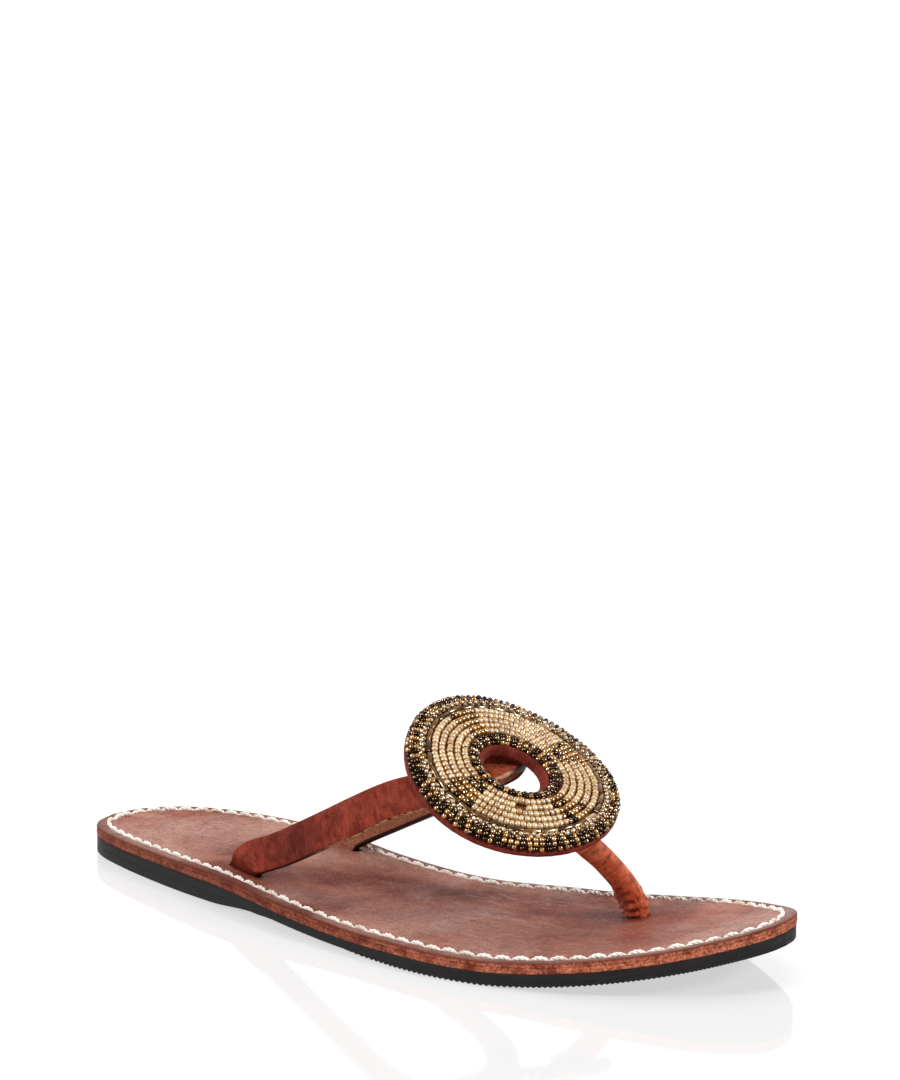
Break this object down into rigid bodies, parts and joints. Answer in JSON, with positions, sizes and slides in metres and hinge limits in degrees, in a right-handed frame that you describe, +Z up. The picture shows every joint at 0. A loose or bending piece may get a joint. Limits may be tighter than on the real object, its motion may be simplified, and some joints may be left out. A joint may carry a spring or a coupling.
{
  "type": "thong sandal",
  "caption": "Right-foot flat leather thong sandal: layered stitched sole, instep strap, toe post and a draped oval medallion of beadwork with an open centre.",
  "frame": {"origin": "on the ground, under the centre of the sandal's bounding box", "axes": "+X to the toe, +Y to the inner (big-toe) side of a right foot, +Z up"},
  "size_m": [0.258, 0.0912, 0.07],
  "materials": {
    "rubber": "matt",
    "raw_leather": "rough cut edge",
    "footbed_leather": "satin, creased",
    "strap_leather": "satin",
    "post_leather": "satin",
    "cord": "twisted fibre",
    "thread": "waxed two-ply",
    "canvas": "stiff cloth",
    "cream_beads": "pearly",
    "dark_beads": "glossy glass",
    "clear_beads": "clear and gold glass",
    "gold_beads": "silver-lined gold glass"
  },
  "bodies": {
    "root": {"heel_lift": "rubber", "forefoot_tread": "rubber", "outsole": "rubber", "midsole": "raw_leather", "footbed": "footbed_leather", "footbed_stitching": "thread", "underside_stitching": "thread", "strap_tail_outer": "strap_leather", "strap_tail_inner": "strap_leather", "toe_post": "post_leather", "toe_post_core": "cord", "toe_post_anchor": "post_leather"},
    "upper": {"instep_strap": "strap_leather", "toe_post_tab": "post_leather", "medallion_backing": "strap_leather", "bead_base": "canvas", "edge_beads_outer": "dark_beads", "edge_beads_inner": "dark_beads", "twisted_bead_rope": "clear_beads", "bugle_bead_ring": "gold_beads", "cream_bead_row_1": "cream_beads", "cream_bead_row_2": "cream_beads", "cream_bead_row_3": "cream_beads", "cream_bead_row_4": "cream_beads", "cream_bead_row_5": "cream_beads", "opening_beads_upper": "dark_beads", "opening_beads_lower": "dark_beads"}
  },
  "joints": [
    {"name": "upper_flex", "type": "hinge", "parent": "root", "child": "upper", "pos_m": [-0.0477, -0.0225, 0.0107], "axis": [0.1477, 0.989, -0.0022], "range_deg": [-1, 6.5], "stiffness_Nm_per_rad": 2, "springref_deg": -0.63, "deforming": ["toe_post", "toe_post_core"]}
  ]
}
